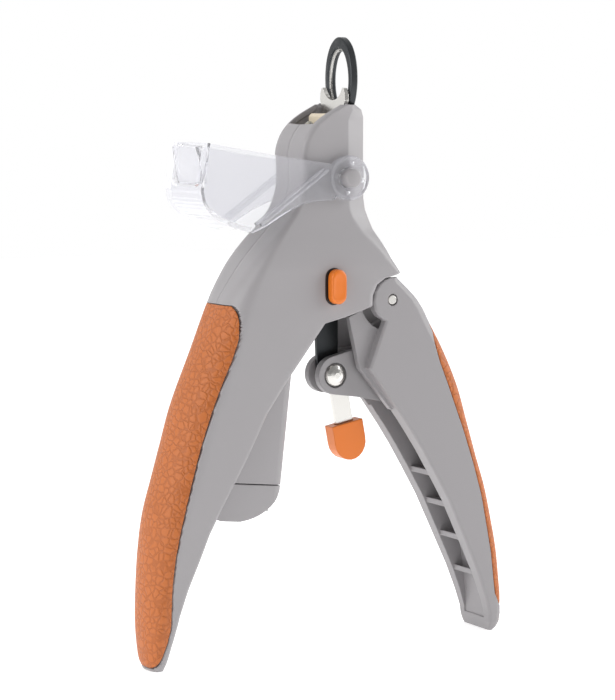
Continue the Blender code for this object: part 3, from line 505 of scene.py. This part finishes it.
@dataclass
class Hood:
    """Moulded details of the clear hood: pivot rims, wall ribs, bosses and the lens."""

    pivot: tuple[float, float] = (2.75, 130.7)
    lean: float = math.radians(9.2)
    face: float = 10.4
    lens: tuple[float, float] = (-40.8, 134.4)

    def at(self, away: float, up: float) -> tuple[float, float]:
        """X and Z of a place on the arm, from the pivot towards the lens and upwards."""
        c, s = math.cos(self.lean), math.sin(self.lean)
        return self.pivot[0] - away * c + up * s, self.pivot[1] + away * s + up * c

    def rib(self, name: str, side: int, shift: float) -> None:
        """A raised line down the wall: a half-round section carried along a straight path."""
        ends = np.array([self.at(6.9 + shift, 1.2), self.at(25.4 + shift, -16.4)])
        path = ends[0] + np.linspace(0, 1, 24)[:, None] * (ends[1] - ends[0])
        across = np.array([ends[1][1] - ends[0][1], ends[0][0] - ends[1][0]])
        across /= np.linalg.norm(across)
        turn = np.linspace(0, np.pi, 9)
        place = path[:, None] + 0.45 * np.cos(turn)[None, :, None] * across
        depth = np.broadcast_to(side * (self.face + 0.35 * np.sin(turn)), place.shape[:2])
        grid = np.stack([place[..., 0], depth, place[..., 1]], axis=-1)
        thicken(surface(name, grid[:, ::side], "clear", "hood"), 0.2)

    def build(self) -> None:
        """Builds the details on both arms, then the lens."""
        face = self.face
        for side, word in ((-1, "front"), (1, "rear")):
            rim = [(face + 0.02, 5.0), (face + 0.45, 5.2), (face + 0.45, 5.8),
                   (face + 0.2, 6.0), (face + 0.02, 6.0)]
            turned(f"pivot_rim_{word}", rim, self.pivot, side, "clear", "hood")
            boss = [(8.65, 2.45), (12.4, 2.45), (12.75, 2.3), (12.9, 1.9), (12.9, 0.02)]
            turned(f"boss_{word}", boss, self.pivot, side, "shell", "casing",
                   (f"hood_boss_{word}",))
            for i in range(4):
                turn = self.lean + i * math.pi / 2
                spot = (self.pivot[0] - 4.05 * math.cos(turn),
                        self.pivot[1] + 4.05 * math.sin(turn))
                dot = [(face + 0.02, 0.7), (face + 0.22, 0.55), (face + 0.24, 0.02)]
                turned(f"pivot_dot_{word}_{i + 1}", dot, spot, side, "clear", "hood")
            for i, shift in enumerate((0.0, 1.6)):
                self.rib(f"wall_rib_{word}_{i + 1}", side, shift)
        self.build_lens()

    def build_lens(self) -> None:
        """A pillow over a rounded rectangle: 1 mm high times one minus each side squared."""
        u, v = np.meshgrid(np.linspace(-1, 1, 41), np.linspace(-1, 1, 41), indexing="ij")
        y, up = 6.95 * u * np.sqrt(1 - 0.06 * v * v), 5.15 * v * np.sqrt(1 - 0.06 * u * u)
        out = 0.55 + 0.7 * (1 - u * u) * (1 - v * v)
        lean = math.atan2(2.1, 12.4)
        x = self.lens[0] - out * math.cos(lean) - up * math.sin(lean)
        z = self.lens[1] + out * math.sin(lean) + up * math.cos(lean)
        lens = surface("hood_lens", np.stack([x, y, z], axis=-1), "clear", "hood",
                       ("magnifier_lens",))
        thicken(lens, 1.4)


@dataclass
class Controls:
    """The lamp's slide switch: its cap, and a flat black sheet around it that paints the shade of
    the recess it slides in.
    """

    centre: tuple[float, float] = (-1.85, 101.5)
    size: tuple[float, float] = (4.7, 9.4)
    depths: tuple[float, float] = (10.8, 13.05)

    def build(self) -> None:
        """The cap is a stadium whose rim rounds over into a slightly dished top."""
        turn = np.linspace(0, 2 * np.pi, 96, endpoint=False)
        share = np.array([1.0, 1.0, 0.97, 0.88, 0.7, 0.5, 0.3, 0.1, 0.004])[:, None]
        depth = np.array([0.0, 0.72, 0.88, 1.0, 0.93, 0.9, 0.9, 0.9, 0.9])[:, None]
        radius, lift = self.size[0] / 2, (self.size[1] - self.size[0]) / 2
        x = self.centre[0] + share * radius * np.cos(turn)
        z = self.centre[1] + share * (radius * np.sin(turn) + lift * np.tanh(6 * np.sin(turn)))
        y = -(self.depths[0] + depth * (self.depths[1] - self.depths[0])) + 0 * turn
        # Painted shade: a flat black sheet on the casing's face, set a little to the left of the
        # cap, standing in for the shadow in the switch's recess.
        shade_sheet = [(self.centre[0] - 0.45 + k * (radius + 0.35) * np.cos(turn),
                   -10.53 + 0 * turn,
                   self.centre[1] + k * ((radius + 0.35) * np.sin(turn)
                                         + lift * np.tanh(6 * np.sin(turn))))
                  for k in (1.0, 0.5, 0.02)]
        grid = np.array([np.stack(row, axis=1) for row in shade_sheet])
        surface("switch_painted_shade", grid, "black", "casing", around=True)
        surface("switch_cap", np.stack([x, y, z], axis=-1), "orange", "switch",
                ("switch_button",), around=True)


# ---------------------------------------------------------------- studio

@dataclass
class Studio:
    """A white light tent, with the camera low and to the left of the front."""

    target: tuple[float, float, float] = (-4.45, 0.0, 83.4)
    azimuth: float = -30.0
    elevation: float = 6.1
    distance: float = 658.8
    lens: float = 123.43

    def lamp(self, name: str, place: tuple[float, float, float], size: float,
             watts: float) -> None:
        """A square soft light at a place in metres, turned to the object."""
        data = bpy.data.lights.new(name, "AREA")
        data.size, data.energy = size, watts
        made = bpy.data.objects.new(name, data)
        made.location = place
        aim = Vector((0, 0, 0.08)) - Vector(place)
        made.rotation_euler = aim.to_track_quat("-Z", "Y").to_euler()
        bpy.context.scene.collection.objects.link(made)

    def tent(self) -> None:
        """White all round and behind, falling to grey on the photographer's side."""
        world = bpy.data.worlds.new("tent")
        world.use_nodes = True
        tree = world.node_tree
        place = add_node(tree, "ShaderNodeTexCoord").outputs["Generated"]
        depth = add_node(tree, "ShaderNodeSeparateXYZ", {"Vector": place}).outputs["Y"]
        shade = add_node(tree, "ShaderNodeMapRange", {"Value": depth}, From_Min=-0.7,
                         From_Max=0.1, To_Min=0.3, To_Max=1.0)
        tree.links.new(shade.outputs["Result"], tree.nodes["Background"].inputs["Strength"])
        tree.nodes["Background"].inputs["Color"].default_value = (1, 1, 1, 1)
        bpy.context.scene.world = world

    def floor(self) -> None:
        """A flat sheet of white paper under the object."""
        grid = np.stack(np.meshgrid([-1500.0, 1500.0], [-1500.0, 1500.0]) + [
            np.full((2, 2), -0.1)], axis=-1)
        mesh = bpy.data.meshes.new("floor")
        mesh.from_pydata((grid.reshape(-1, 3) * MM).tolist(), [], [(0, 1, 3, 2)])
        paper = Finish("white_paper", "#FAFAFA", 0.9, texture=Texture.NONE, edge=0.01)
        sheet = paper.build()
        shader = sheet.node_tree.nodes["Principled BSDF"]
        shader.inputs["Emission Color"].default_value = (1, 1, 1, 1)
        shader.inputs["Emission Strength"].default_value = 0.45
        mesh.materials.append(sheet)
        floor = bpy.data.objects.new("floor", mesh)
        bpy.context.scene.collection.objects.link(floor)

    def camera(self) -> None:
        """A long lens aimed at the target, from the fitted angles and distance."""
        a, e = math.radians(self.azimuth), math.radians(self.elevation)
        back = Vector((math.sin(a) * math.cos(e), -math.cos(a) * math.cos(e), math.sin(e)))
        data = bpy.data.cameras.new("camera")
        data.lens, data.sensor_width, data.sensor_fit = self.lens, 36.0, "AUTO"
        data.clip_start, data.clip_end = 0.01, 10.0
        camera = bpy.data.objects.new("camera", data)
        camera.location = (Vector(self.target) + back * self.distance) * MM
        camera.rotation_euler = (-back).to_track_quat("-Z", "Y").to_euler()
        bpy.context.scene.collection.objects.link(camera)
        bpy.context.scene.camera = camera

    def build(self) -> None:
        """Floor, background, lights and camera."""
        self.floor()
        self.tent()
        self.lamp("left", (-0.7, -0.1, 0.35), 0.5, 2.2)
        self.lamp("right", (0.6, -0.25, 0.3), 0.4, 2.6)
        self.camera()
        bpy.context.scene.view_settings.view_transform = "Standard"


def dress_nodes() -> None:
    """Gives every CAD node the finish of its slot in the record."""
    for part in frame["record"]["subparts"]:
        node = frame["nodes"][part["node"]]
        node.data.materials.clear()
        node.data.materials.append(MATERIALS[part["material_slot"]])


def main() -> None:
    """Builds the pieces in order."""
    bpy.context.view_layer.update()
    dress_nodes()
    Casing().build()
    LeverStrip().build()
    CuttingLoop().build()
    ReturnSpring().build()
    Hood().build()
    Controls().build()
    Studio().build()


if __name__ == "__main__":
    main()
